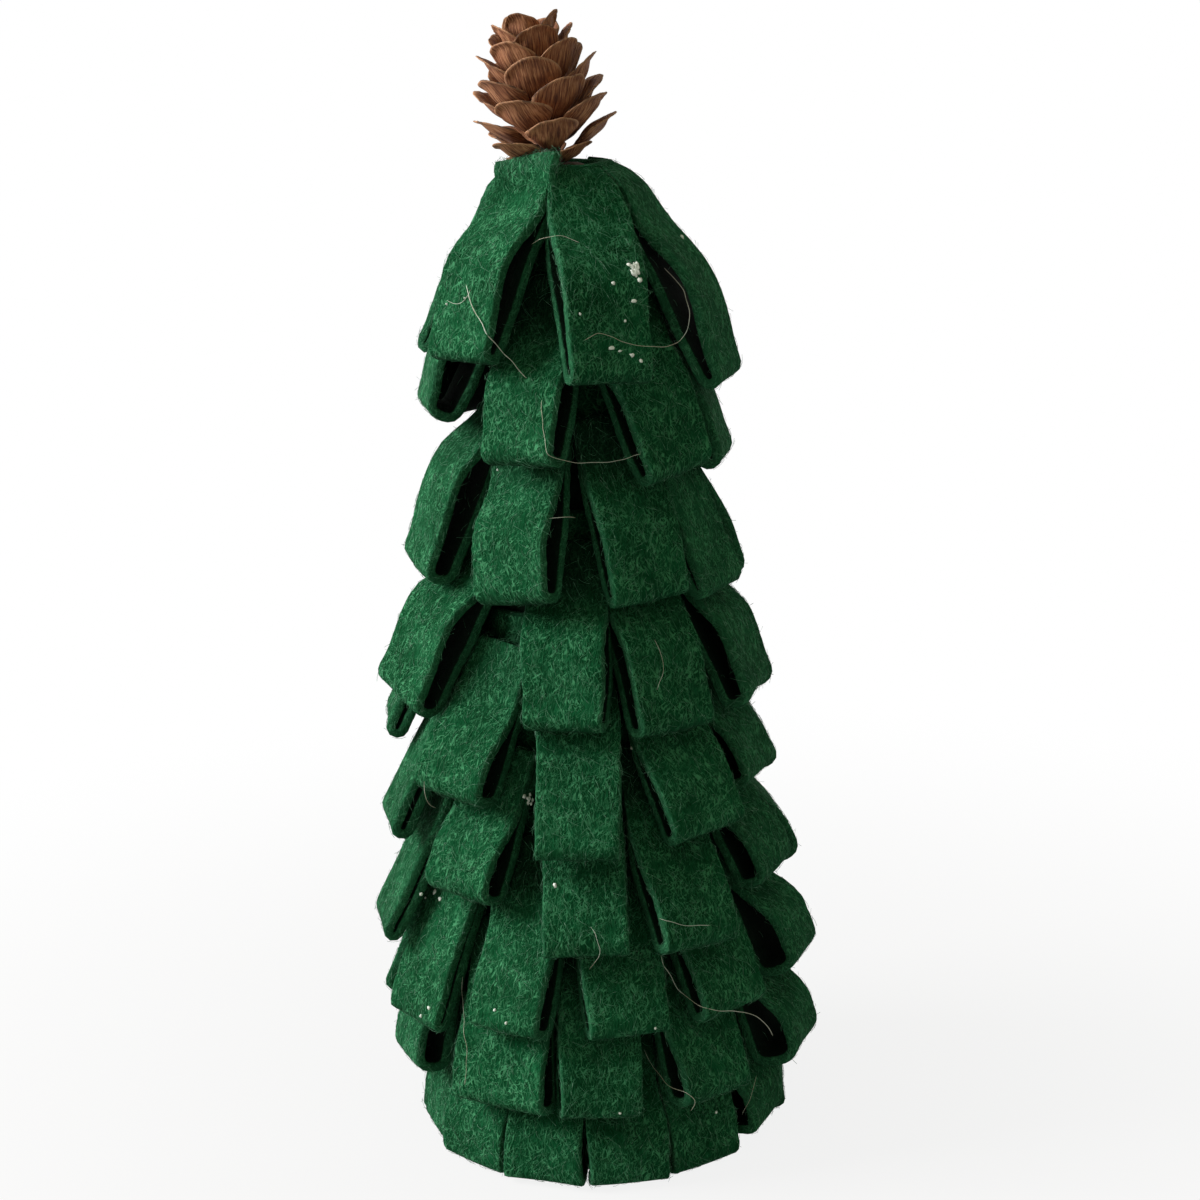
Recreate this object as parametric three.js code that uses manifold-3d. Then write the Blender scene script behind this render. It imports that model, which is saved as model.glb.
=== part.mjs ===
// A table-top christmas tree made of looped felt.
// A foam cone carries nine fringed felt strips, one above the other. Each strip is folded
// lengthwise and slit from the fold into tabs, so that every tab is a hanging loop, and its
// uncut edges are glued round the cone. A larch cone is glued on the top as the finial.
// Lengths are in millimetres, angles in degrees. Z is up, the origin is the middle of the foot,
// and the side that faces -Y is the front.
import * as THREE from "three";
import { mergeVertices } from "three/addons/utils/BufferGeometryUtils.js";
import Module from "manifold-3d";

// The foam cone.
const coreHeight = 222;
const coreBaseRadius = 34;
const coreTopRadius = 10.5;
const coreSides = 48;

// The felt strips. A loop is as long as half the width of the strip that it was cut from.
const feltThickness = 2.3;
const tabWidth = 18.6;
const slitWidth = 0.8;
const loopLength = 38;
const loopOpening = 5;
const foldHeight = 2;
const foldSquareness = 0.6;
const headerBand = 9;
const headerSides = 20;
const collarRadius = 6.6;
const collarRise = 1.5;

// The air that is left between pieces that touch.
const clearance = 0.3;

// Each tier from the floor up. tipShare is the height of its folds, in foam cone heights.
// partShare and widestShare say where the two layers of its loops part and stand widest, from
// the glued edge to the fold, and closeShare how much of the opening is left at the fold. turns
// are the angles of the tabs that were placed by eye, from the front towards the right.
// dropShares say how much lower than the tier each of them hangs, in loop lengths. openShares
// say how far its loop stands open, and standShares how far it stands off what lies below it,
// both in loop openings. bellyShares say how early it opens, from 0, as the tier does, to 1,
// close to its glued edge. The tabs behind them are spread evenly up to count.
const tiers = [
  {
    tipShare: 0.0005,
    partShare: 0.4,
    widestShare: 0.85,
    closeShare: 1,
    count: 13,
    turns: [-72, -45, -18, 8, 34, 61, 88],
    dropShares: [0, 0, 0, 0, 0, -0.1, -0.04],
    openShares: [0.6, 1, 1.3, 1.4, 1.1, 1.4, 1.25],
    standShares: [0, 0, 0, 0, 0, 0, 0],
    bellyShares: [0, 0, 0, 0, 0, 0, 0],
  },
  {
    tipShare: 0.088,
    partShare: 0.45,
    widestShare: 0.88,
    closeShare: 1,
    count: 12,
    turns: [-94, -66, -28, 2, 33, 69, 96],
    dropShares: [0.04, 0.04, 0.04, 0.05, 0.03, 0.01, 0.04],
    openShares: [0.2, 0.9, 0.7, 0.8, 0.8, 1.5, 0.9],
    standShares: [0, 0, 0, 0, 0, 0, 0],
    bellyShares: [0, 0, 0, 0, 0, 0, 0],
  },
  {
    tipShare: 0.178,
    partShare: 0.42,
    widestShare: 0.85,
    closeShare: 1,
    count: 12,
    turns: [-98, -61, -26, 8, 39, 72, 96],
    dropShares: [0.2, 0.17, 0.06, 0.06, 0.03, -0.02, -0.04],
    openShares: [0, 0.1, 0.7, 0.5, 0.5, 1.3, 0.6],
    standShares: [0, 0, 0, 0, 0, 0, 0],
    bellyShares: [0, 0, 0, 0, 0, 0, 0],
  },
  {
    tipShare: 0.27,
    partShare: 0.42,
    widestShare: 0.85,
    closeShare: 1,
    count: 11,
    turns: [-80, -43, -2.5, 27.5, 67],
    dropShares: [0.25, -0.13, 0.09, 0.09, -0.08],
    openShares: [0.1, 0.9, 0.5, 0.6, 0.8],
    standShares: [0, 0, 0, 0, 0],
    bellyShares: [0, 0, 0, 0, 0],
  },
  {
    tipShare: 0.374,
    partShare: 0.42,
    widestShare: 0.85,
    closeShare: 1,
    count: 11,
    turns: [-80, -46, -3, 30, 66],
    dropShares: [0.2, -0.11, 0.12, 0.07, -0.09],
    openShares: [0.2, 0.9, 0.5, 0.6, 0.7],
    standShares: [0, 0, 0, 0, 0],
    bellyShares: [0, 0, 0, 0, 0],
  },
  {
    tipShare: 0.482,
    partShare: 0.3,
    widestShare: 0.65,
    closeShare: 0.7,
    count: 10,
    turns: [-98, -68, -9, 28, 69],
    dropShares: [0.31, 0.06, 0.02, 0.07, 0.04],
    openShares: [0.7, 1.4, 0.9, 0.8, 0.9],
    standShares: [0, 0.1, 0, 0, 0],
    bellyShares: [0, 0.7, 0, 0, 0],
  },
  {
    tipShare: 0.608,
    partShare: 0.3,
    widestShare: 0.75,
    closeShare: 0.65,
    count: 9,
    turns: [-72, -31, 23, 60],
    dropShares: [0.03, 0.03, 0.04, 0.08],
    openShares: [0.9, 1, 0.5, 0.1],
    standShares: [0, 0, 0, 0],
    bellyShares: [0.8, 0, 0, 0],
  },
  {
    tipShare: 0.743,
    partShare: 0.3,
    widestShare: 0.7,
    closeShare: 0.7,
    count: 8,
    turns: [-80, -24, 31, 72],
    dropShares: [-0.16, 0.02, 0.14, 0.18],
    openShares: [1.2, 1, 0.6, 0.3],
    standShares: [0.6, 0, 0, 0],
    bellyShares: [0, 0, 0, 0],
  },
  {
    tipShare: 0.824,
    partShare: 0.2,
    widestShare: 0.62,
    closeShare: 0.3,
    count: 6,
    turns: [-125, -46, 16, 72],
    dropShares: [0, -0.09, 0.02, 0.13],
    openShares: [0.1, 0.9, 1, 0.9],
    standShares: [0, 0, 0, 0],
    bellyShares: [0, 0, 0, 0],
  },
];

// The places along the open stretch of a loop where its outline has points.
const slotShares = [0.4, 0.85];

// Where the layers of a full-bellied loop part and stand widest.
const earlyPartShare = 0.03;
const earlyWidestShare = 0.45;

// The larch cone: a tapered spindle with cupped scales in a spiral round it. The lowest scales
// lie almost flat and close together, the highest ones stand up. The broadest scale is a little
// below the middle.
const spindleLength = 26;
const spindleRadius = 2.4;
const spindleTipRadius = 1;
const spindleSides = 10;
const scaleCount = 30;
const scaleTurn = 137.5;
const scaleStart = -45;
const scaleWidth = 13;
const scaleLength = 16;
const scaleThickness = 1;
const scaleCup = 2.6;
const lowestShare = 0.04;
const highestShare = 0.93;
const crowdingShare = 0.3;
const broadestShare = 0.38;
const lowBaseAngle = 0;
const highBaseAngle = 47;
const lowTipAngle = 55;
const highTipAngle = 88;
const scaleAround = 8;
const scaleAlong = 6;
const larchLean = 9;
const larchOffset = 3.2;

// The blob of glue that holds the larch cone.
const glueRadius = 5.6;
const glueHeight = 5.6;
const glueSides = 20;

const wasm = await Module();
wasm.setup();

// The foam cone's radius at a height.
function coreRadiusAt(height) {
  return coreBaseRadius + ((coreTopRadius - coreBaseRadius) * height) / coreHeight;
}

// A closed geometry as a solid, for joining.
function solidOf(geometry) {
  const bare = geometry.clone();
  bare.deleteAttribute("normal");
  bare.deleteAttribute("uv");
  const merged = mergeVertices(bare);
  return new wasm.Manifold(
    new wasm.Mesh({
      numProp: 3,
      vertProperties: merged.attributes.position.array,
      triVerts: new Uint32Array(merged.index.array),
    }),
  );
}

// A joined solid as a geometry.
function geometryOf(solid) {
  const mesh = solid.getMesh();
  const geometry = new THREE.BufferGeometry();
  geometry.setAttribute("position", new THREE.BufferAttribute(mesh.vertProperties, mesh.numProp));
  geometry.setIndex(new THREE.BufferAttribute(mesh.triVerts, 1));
  geometry.computeVertexNormals();
  return geometry;
}

// A closed profile of radius and height, turned round the Z axis.
function turned(profile, sides) {
  const geometry = new THREE.LatheGeometry(profile, sides);
  geometry.rotateX(Math.PI / 2);
  return geometry;
}

// All the tabs of a tier, with their angles and drops and the angles to their neighbours. Those
// that were not placed by eye share the arc round the back evenly.
function tabsOf(tier) {
  const placed = tier.turns.map((turn, index) => ({
    turn,
    dropShare: tier.dropShares[index],
    openShare: tier.openShares[index],
    standShare: tier.standShares[index],
    bellyShare: tier.bellyShares[index],
  }));
  const first = placed[0];
  const last = placed[placed.length - 1];
  const missing = tier.count - placed.length;
  const arc = 360 - (last.turn - first.turn);
  for (let index = 1; index <= missing; index++) {
    const share = index / (missing + 1);
    placed.push({
      turn: last.turn + arc * share,
      dropShare: THREE.MathUtils.lerp(last.dropShare, first.dropShare, share),
      openShare: THREE.MathUtils.lerp(last.openShare, first.openShare, share),
      standShare: 0,
      bellyShare: 0,
    });
  }
  placed.forEach((tab, index) => {
    const next = placed[(index + 1) % placed.length];
    tab.turnAfter = turnBetween(tab.turn, next.turn);
    next.turnBefore = tab.turnAfter;
  });
  return placed;
}

// How far two angles lie apart.
function turnBetween(a, b) {
  const turn = Math.abs(a - b) % 360;
  return Math.min(turn, 360 - turn);
}

// The path of a sheet pulled taut over points that are given from the top down.
function tautPath(points) {
  const path = [];
  for (const point of points) {
    while (path.length > 1) {
      const from = path[path.length - 2];
      const over = path[path.length - 1].clone().sub(from);
      if (over.cross(point.clone().sub(from)) < 0) break;
      path.pop();
    }
    path.push(point);
  }
  return path;
}

// The height-ordered points that a tab has to pass outside of: the corners of the tabs below.
function pointsBelow(tab, lowerTabs, tipHeight, startHeight) {
  const reach = lowerTabs.length > 0 ? (2 * 360) / lowerTabs.length : 0;
  const points = [];
  for (const lower of lowerTabs) {
    if (turnBetween(tab.turn, lower.turn) > reach) continue;
    for (const height of [tipHeight, ...lower.outer.map((point) => point.y)]) {
      if (height < tipHeight || height > startHeight) continue;
      const radius = radiusAt(lower.outer, height);
      if (radius === undefined) continue;
      points.push(new THREE.Vector2(Math.hypot(radius, tabWidth / 2) + clearance, height));
    }
  }
  return points.sort((a, b) => b.y - a.y || a.x - b.x);
}

// The radius at a height of a line of points that runs from the top down.
function radiusAt(line, height) {
  for (let index = 1; index < line.length; index++) {
    const upper = line[index - 1];
    const lower = line[index];
    if (height <= upper.y && height >= lower.y) {
      const share = upper.y === lower.y ? 0 : (upper.y - height) / (upper.y - lower.y);
      return THREE.MathUtils.lerp(upper.x, lower.x, share);
    }
  }
  return undefined;
}

// A path's length.
function lengthOf(path) {
  return path.slice(1).reduce((sum, point, index) => sum + point.distanceTo(path[index]), 0);
}

// The point at a share of a path's length.
function pointAt(path, share) {
  const lengths = path.slice(1).map((point, index) => point.distanceTo(path[index]));
  let left = share * lengthOf(path);
  for (let index = 0; index < lengths.length; index++) {
    if (left <= lengths[index] || index === lengths.length - 1) {
      return path[index].clone().lerp(path[index + 1], left / lengths[index]);
    }
    left -= lengths[index];
  }
  return path[0].clone();
}

// The direction away from the core at a share of a path.
function outwardAt(path, share) {
  const spanShare = 0.08;
  const before = pointAt(path, Math.max(0, share - spanShare));
  const after = pointAt(path, Math.min(1, share + spanShare));
  const along = after.sub(before).normalize();
  return new THREE.Vector2(-along.y, along.x);
}

// How far the two layers of a loop stand apart at a share of its path.
function openingAt(tab, tier, share) {
  const opening = loopOpening * tab.openShare;
  const widestShare = THREE.MathUtils.lerp(tier.widestShare, earlyWidestShare, tab.bellyShare);
  if (share <= widestShare) {
    return opening * THREE.MathUtils.smoothstep(share, partShareOf(tab, tier), widestShare);
  }
  const closing = THREE.MathUtils.smoothstep(share, widestShare, 1);
  return opening * THREE.MathUtils.lerp(1, tier.closeShare, closing);
}

// The share of a loop's path at which its two layers part.
function partShareOf(tab, tier) {
  return THREE.MathUtils.lerp(tier.partShare, earlyPartShare, tab.bellyShare);
}

// The height of a strip's upper edge, and whether that edge is folded over the top of the cone.
function headerHeightOf(tier) {
  return coreHeight * tier.tipShare + loopLength;
}

function onTop(tier) {
  return tier === tiers[tiers.length - 1];
}

// The side view of one tab: its inner line against what lies below, and its outer line.
function shapeTab(tab, tier, lowerTabs) {
  const tipHeight = coreHeight * tier.tipShare - loopLength * tab.dropShare;
  const headerHeight = headerHeightOf(tier);
  const start = [];
  if (onTop(tier)) {
    start.push(new THREE.Vector2(collarRadius, coreHeight + clearance + collarRise));
    start.push(new THREE.Vector2(coreTopRadius + clearance, coreHeight + clearance));
  } else {
    start.push(new THREE.Vector2(coreRadiusAt(headerHeight) + clearance, headerHeight));
  }
  const startHeight = start[start.length - 1].y;
  const below = pointsBelow(tab, lowerTabs, tipHeight, startHeight);
  const end = new THREE.Vector2(coreRadiusAt(tipHeight) + clearance, tipHeight);
  if (below.length > 0) end.x = Math.max(end.x, below[below.length - 1].x);
  end.x += loopOpening * tab.standShare;
  const taut = tautPath([...start, ...below, end]);

  tab.path = shortened(taut, foldHeight);
  const bendShare = taut[0].distanceTo(taut[1]) / lengthOf(taut);
  const upperShares = onTop(tier) ? [0, bendShare] : [0];
  const parting = partShareOf(tab, tier);
  tab.outer = [...upperShares, parting, ...openSharesOf(parting), 1].map((share) => {
    const depth = 2 * feltThickness + openingAt(tab, tier, share);
    return pointAt(tab.path, share).addScaledVector(outwardAt(tab.path, share), depth);
  });
}

// The shares of a loop's path at which the outline of its opening has points.
function openSharesOf(parting) {
  return slotShares.map((share) => THREE.MathUtils.lerp(parting, 1, share));
}

// A path without the last stretch, which the fold takes up.
function shortened(path, length) {
  const kept = path.slice();
  let left = length;
  while (kept.length > 2 && kept[kept.length - 1].distanceTo(kept[kept.length - 2]) <= left) {
    left -= kept[kept.length - 1].distanceTo(kept[kept.length - 2]);
    kept.pop();
  }
  const last = kept.pop();
  const before = kept[kept.length - 1];
  kept.push(last.clone().lerp(before, left / last.distanceTo(before)));
  return kept;
}

// Points round a fold, from the inner layer to the outer one.
function foldPoints(tab, depth, inset, steps) {
  const share = 1;
  const outward = outwardAt(tab.path, share);
  const down = new THREE.Vector2(outward.y, -outward.x);
  const middle = pointAt(tab.path, share).addScaledVector(outward, depth / 2);
  const points = [];
  for (let step = 1; step < steps; step++) {
    const angle = (Math.PI * step) / steps;
    const out = -Math.sign(Math.cos(angle)) * Math.pow(Math.abs(Math.cos(angle)), foldSquareness);
    const below = Math.pow(Math.sin(angle), foldSquareness);
    points.push(
      middle
        .clone()
        .addScaledVector(outward, out * (depth / 2 - inset))
        .addScaledVector(down, below * (foldHeight - inset)),
    );
  }
  return points;
}

// One tab as a solid: the loop's side view, given the width of the tab.
function tabSolid(tab, tier) {
  const foldSteps = 3;
  const slotSteps = 3;
  const parting = partShareOf(tab, tier);
  const endDepth = 2 * feltThickness + openingAt(tab, tier, 1);
  const outline = [
    ...tab.path,
    ...foldPoints(tab, endDepth, 0, foldSteps),
    ...tab.outer.slice().reverse(),
  ];
  const inside = [];
  const outside = [];
  for (const share of openSharesOf(parting)) {
    const outward = outwardAt(tab.path, share);
    const foot = pointAt(tab.path, share);
    const opening = openingAt(tab, tier, share);
    inside.push(foot.clone().addScaledVector(outward, feltThickness));
    outside.push(foot.clone().addScaledVector(outward, feltThickness + opening));
  }
  const apex = pointAt(tab.path, parting);
  apex.addScaledVector(outwardAt(tab.path, parting), feltThickness);
  const slot = [
    apex,
    ...inside,
    ...foldPoints(tab, endDepth, feltThickness, slotSteps),
    ...outside.reverse(),
  ];
  const shape = new THREE.Shape(outline);
  shape.holes.push(new THREE.Path(slot));
  const geometry = new THREE.ExtrudeGeometry(shape, {
    depth: tabWidth,
    bevelEnabled: false,
    steps: 1,
  });
  geometry.translate(0, 0, -tabWidth / 2);
  keepInSector(geometry, tab);
  geometry.rotateX(Math.PI / 2);
  geometry.rotateZ(THREE.MathUtils.degToRad(tab.turn - 90));
  return solidOf(geometry);
}

// Narrows a tab where the ring is small, so that a slit is left to the tabs beside it. The tab
// still lies with its radius along X and its width along Z.
function keepInSector(geometry, tab) {
  const position = geometry.attributes.position;
  for (let index = 0; index < position.count; index++) {
    const side = Math.sign(position.getZ(index));
    const turn = side > 0 ? tab.turnBefore : tab.turnAfter;
    const room = position.getX(index) * Math.tan(THREE.MathUtils.degToRad(turn / 2));
    position.setZ(index, side * Math.min(tabWidth / 2, room - slitWidth / 2));
  }
}

// The uncut band at the top of a strip, wrapped round the foam cone, or laid on its top.
function headerSolid(onTop, headerHeight) {
  const inset = feltThickness / 6;
  const depth = 2 * (feltThickness - inset);
  const wall = clearance + inset;
  let inner;
  let outer;
  if (onTop) {
    const floor = coreHeight + wall;
    inner = [new THREE.Vector2(collarRadius + inset, floor), new THREE.Vector2(coreTopRadius, floor)];
    outer = [collarRise, 0].map((rise, index) => {
      return new THREE.Vector2(inner[index].x, inner[index].y + depth + rise);
    });
  } else {
    const heights = [headerHeight - inset, headerHeight - inset - headerBand];
    inner = heights.map((height) => new THREE.Vector2(coreRadiusAt(height) + wall, height));
    outer = inner.map((point) => new THREE.Vector2(point.x + depth, point.y));
  }
  return solidOf(turned([inner[0], inner[1], outer[1], outer[0], inner[0]], headerSides));
}

// A whole strip: its tabs joined to each other and to the band that they were cut from.
function stripGeometry(tabs, tier) {
  const solids = tabs.map((tab) => tabSolid(tab, tier));
  const header = headerSolid(onTop(tier), headerHeightOf(tier));
  return geometryOf(solids.reduce((whole, solid) => whole.add(solid), header));
}

// One scale of the larch cone: a flattened ball that is cupped and curved upwards.
function scaleGeometry(sizeShare, baseAngle, tipAngle, rootRadius) {
  const geometry = new THREE.SphereGeometry(1, scaleAround, scaleAlong);
  const broadShare = 0.7;
  const position = geometry.attributes.position;
  const length = scaleLength * sizeShare;
  for (let index = 0; index < position.count; index++) {
    const across = position.getX(index);
    const through = position.getZ(index);
    const along = Math.pow((1 - position.getY(index)) / 2, broadShare);
    const angle = THREE.MathUtils.degToRad(THREE.MathUtils.lerp(baseAngle, tipAngle, along));
    const middle = THREE.MathUtils.degToRad(THREE.MathUtils.lerp(baseAngle, tipAngle, along / 2));
    const lift = (through * scaleThickness) / 2 + across * across * scaleCup * sizeShare;
    position.setXYZ(
      index,
      rootRadius + along * length * Math.cos(middle) - lift * Math.sin(angle),
      (across * scaleWidth * sizeShare) / 2,
      along * length * Math.sin(middle) + lift * Math.cos(angle),
    );
  }
  geometry.computeVertexNormals();
  return geometry;
}

const felt = { color: 0x1f6b3c, roughness: 0.95, metalness: 0 };
const foam = { color: 0x2f5f3d, roughness: 0.9, metalness: 0 };
const bark = { color: 0x8a5a3c, roughness: 0.8, metalness: 0 };
const glue = { color: 0xd8cfae, roughness: 0.25, metalness: 0 };

function addMesh(parent, name, geometry, finish) {
  const mesh = new THREE.Mesh(geometry, new THREE.MeshStandardMaterial(finish));
  mesh.name = name;
  parent.add(mesh);
  return mesh;
}

const tree = new THREE.Group();

addMesh(
  tree,
  "foam_core",
  turned(
    [
      new THREE.Vector2(0, 0),
      new THREE.Vector2(coreBaseRadius, 0),
      new THREE.Vector2(coreTopRadius, coreHeight),
      new THREE.Vector2(0, coreHeight),
    ],
    coreSides,
  ),
  foam,
);

let lowerTabs = [];
tiers.forEach((tier, tierIndex) => {
  const tabs = tabsOf(tier);
  tabs.forEach((tab) => shapeTab(tab, tier, lowerTabs));
  addMesh(tree, "felt_strip_" + (tierIndex + 1), stripGeometry(tabs, tier), felt);
  lowerTabs = tabs;
});

// The glue sits in the middle of the top strip and the larch cone stands on it.
const glueFoot = coreHeight + clearance;
addMesh(
  tree,
  "glue_dab",
  turned(
    [
      new THREE.Vector2(0, 0),
      new THREE.Vector2(glueRadius, 0),
      new THREE.Vector2(glueRadius, glueHeight / 2),
      new THREE.Vector2(glueRadius / 2, glueHeight),
      new THREE.Vector2(0, glueHeight),
    ],
    glueSides,
  ),
  glue,
).position.z = glueFoot;

const larch = new THREE.Group();
larch.position.set(-larchOffset, 0, glueFoot + glueHeight + clearance);
larch.rotation.y = THREE.MathUtils.degToRad(-larchLean);
tree.add(larch);

addMesh(
  larch,
  "larch_spindle",
  turned(
    [
      new THREE.Vector2(0, 0),
      new THREE.Vector2(spindleRadius, 0),
      new THREE.Vector2(spindleTipRadius, spindleLength),
      new THREE.Vector2(0, spindleLength),
    ],
    spindleSides,
  ),
  bark,
);

for (let index = 0; index < scaleCount; index++) {
  const share = index / (scaleCount - 1);
  const rise = THREE.MathUtils.lerp(share, share * share, crowdingShare);
  const height = spindleLength * THREE.MathUtils.lerp(lowestShare, highestShare, rise);
  const radius = THREE.MathUtils.lerp(spindleRadius, spindleTipRadius, height / spindleLength);
  const sizeShare = 1 - Math.pow(share - broadestShare, 2);
  const baseAngle = THREE.MathUtils.lerp(lowBaseAngle, highBaseAngle, share);
  const tipAngle = THREE.MathUtils.lerp(lowTipAngle, highTipAngle, share);
  const name = "larch_scale_" + String(index + 1).padStart(2, "0");
  const geometry = scaleGeometry(sizeShare, baseAngle, tipAngle, radius + clearance);
  const mesh = addMesh(larch, name, geometry, bark);
  mesh.position.z = height;
  mesh.rotation.z = THREE.MathUtils.degToRad(scaleStart + scaleTurn * index - 90);
}

export default tree;
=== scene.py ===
# A table-top christmas tree of looped felt, dressed for the photograph: thick felt loops with
# matted fibres, loose hairs and lint, ribbed larch scales and a blob of set glue.
# Lengths are written in millimetres and handed to Blender in metres. Angles of the tabs are
# counted from the front, which faces -Y, towards the right.
from dataclasses import dataclass
from math import cos, hypot, pi, radians, sin

import bpy
import numpy as np
from mathutils import Matrix, Vector, noise
from mathutils.bvhtree import BVHTree


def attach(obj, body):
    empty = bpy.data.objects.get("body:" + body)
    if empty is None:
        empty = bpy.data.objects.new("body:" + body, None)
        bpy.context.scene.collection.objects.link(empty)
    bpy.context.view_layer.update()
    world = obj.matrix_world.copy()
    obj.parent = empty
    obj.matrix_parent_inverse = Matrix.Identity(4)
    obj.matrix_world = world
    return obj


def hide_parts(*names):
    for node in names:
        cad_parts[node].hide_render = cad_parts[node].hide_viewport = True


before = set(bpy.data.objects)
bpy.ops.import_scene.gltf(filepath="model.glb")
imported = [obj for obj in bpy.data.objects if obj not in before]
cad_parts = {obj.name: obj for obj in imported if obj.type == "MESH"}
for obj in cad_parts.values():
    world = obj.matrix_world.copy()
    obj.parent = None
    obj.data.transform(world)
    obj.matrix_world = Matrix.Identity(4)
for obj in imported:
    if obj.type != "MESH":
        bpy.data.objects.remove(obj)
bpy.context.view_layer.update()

# The noise is seeded, so that every run gives the same felt.
noise.seed_set(7)

MM = 0.001

# Where the camera stands, from the tree's axis and its foot, and how it is held.
CAMERA_DISTANCE = 590 * MM
CAMERA_HEIGHT = 281 * MM
CAMERA_PITCH = radians(14.6)
CAMERA_ROLL = radians(2)
PICTURE_WIDTH = 1200
FOCAL_PIXELS = 2631
SHIFT_PIXELS = 17
SENSOR_WIDTH = 36
EYE = Vector((0, -CAMERA_DISTANCE, CAMERA_HEIGHT))

# Half the width of the floor.
FLOOR = 2500 * MM

# The foam cone.
CORE_HEIGHT = 222
CORE_BASE_RADIUS = 34
CORE_TOP_RADIUS = 10.5

# The felt.
FELT = 2.3
TAB_WIDTH = 18.6
SLIT = 0.8
LOOP_LENGTH = 38
LOOP_OPENING = 5
FOLD_HEIGHT = 2
HEADER_BAND = 9
COLLAR_RADIUS = 6.6
COLLAR_RISE = 1.5
CLEARANCE = 0.3
CORE_TOP = CORE_HEIGHT + CLEARANCE
CORNER = 0.5
SLOT_SHARES = (0.4, 0.85)

# How far handwork and wear bend the felt, and in waves of what length.
SAG, SAG_WAVE = 0.55, 13
WEAR, WEAR_WAVE = 0.22, 1.6
BAND_SAG, BAND_WAVE = 0.4, 9
FLAP_SAG, FLAP_WAVE = 0.7, 4

# How much of the wear, the fringe and the painted shade of the hollows the faces and the cut edges get,
# and how deep the painted shade is on the felt that a tier above covers, to the left and the right of a
# turn.
FACE_WEAR = 0.35
FACE_FRINGE = 0.06
EDGE_FRINGES = (0.25, 0.85)
EDGE_SHADE = 0.3
COVERED_SHADES = (0.2, 0.75)
COVERED_TURN = -35
COVERED_SHARES = (0.15, 0.42)

# The glued band is pressed a little, and the felt runs on above it in one layer.
BAND_PRESS = 0.4
LINING_THICKNESS = 2
LINING_RISE = 8

# The end of the front left loop that stands up beside the cone, as radius and height.
FLAP_TURN = -43
FLAP_FOOT = (15.6, 214)
FLAP_TOP = (12.6, 230.3)
FLAP_WORN = 6
FLAP_WIDTHS = (0.84, 0.9)
FLAP_SLANT = 0.17

# The larch cone. Of a pair, the first value is for its foot, or the foot of a scale.
SPINDLE_LENGTH = 26
SPINDLE_RADII = (2.4, 1)
SCALE_COUNT = 30
SCALE_TURN = 137.5
SCALE_START = -45
SCALE_WIDTH = 13
SCALE_LENGTH = 16
SCALE_CUP = 2.6
HEIGHT_SHARES = (0.04, 0.93)
CROWDING_SHARE = 0.3
BROADEST_SHARE = 0.38
BASE_ANGLES = (0, 47)
TIP_ANGLES = (55, 88)
BASAL_SHARES = (0.6, 0.75, 0.6, 0.65, 0.45)
LARCH_LEAN = 9
LARCH_OFFSET = 3.2
GLUE_RADIUS = 5.6
GLUE_HEIGHT = 5.6
GLUE_WANDER = 0.14
RIM_LIP = 0.9
RIB_DEPTH = 0.22
SCALE_WARP = 0.5
SCALE_THICKNESSES = (0.85, 0.42)

# The loose fibres. They stray by up to FIBRE_STRAY degrees round their own three axes.
FIBRE_DENSITY = 0.26 / MM**2
FIBRE_LENGTH = 2.8 * MM
FIBRE_THICKNESS = 0.085 * MM
FIBRE_BOW = 0.7 * MM
FIBRE_STRAY = (70, 9, 75)
FIBRE_SIZES = ((0.35, 0.6, 0.6), (1.5, 1.2, 1.2))

# The hairs and the lint. A hair drops by no more than its slack from one point to the next.
HAIR_SLACK = 0.35 * MM
HAIR_LIFT = 0.2 * MM
HAIR_TAPER = 0.3
HAIR_SIDES = 5

# A hair wanders in the picture by up to some pixels, in waves of a length.
HAIR_WANDER, HAIR_WAVE = 2.5, 14

# A speck that covers fewer pixels is one lump, and a larger one has a lump for so many of them.
SINGLE_SPECK = 40
PIXELS_PER_LUMP = 9
LUMP_SIZE = 0.4
LUMP_STRAY = 1.1
LINT_HEIGHT = 0.4
LINT_CRUMPLE = 0.8


@dataclass
class Tab:
    """One hanging loop.

    drop is in loop lengths, and open and stand are in loop openings: how far its layers stand
    apart, and how far it stands off what lies below. lean and roll are in degrees: to the right,
    and with the right edge forward. belly says how early it opens, from 0, as its tier does, to 1,
    and wide how wide it was cut, in tab widths.
    """

    turn: float
    drop: float
    open: float
    lean: float = 0
    roll: float = 0
    stand: float = 0
    belly: float = 0
    wide: float = 1
    before: float = 0
    after: float = 0
    taut: tuple = ()
    path: tuple = ()
    outer: tuple = ()


@dataclass
class Tier:
    """One felt strip.

    tip, part, widest and close are shares: the height of the folds on the cone, where the two
    layers part and stand widest, and what is left of the opening at the fold.
    """

    tip: float
    part: float
    widest: float
    close: float
    count: int
    roundness: float
    placed: list


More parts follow.
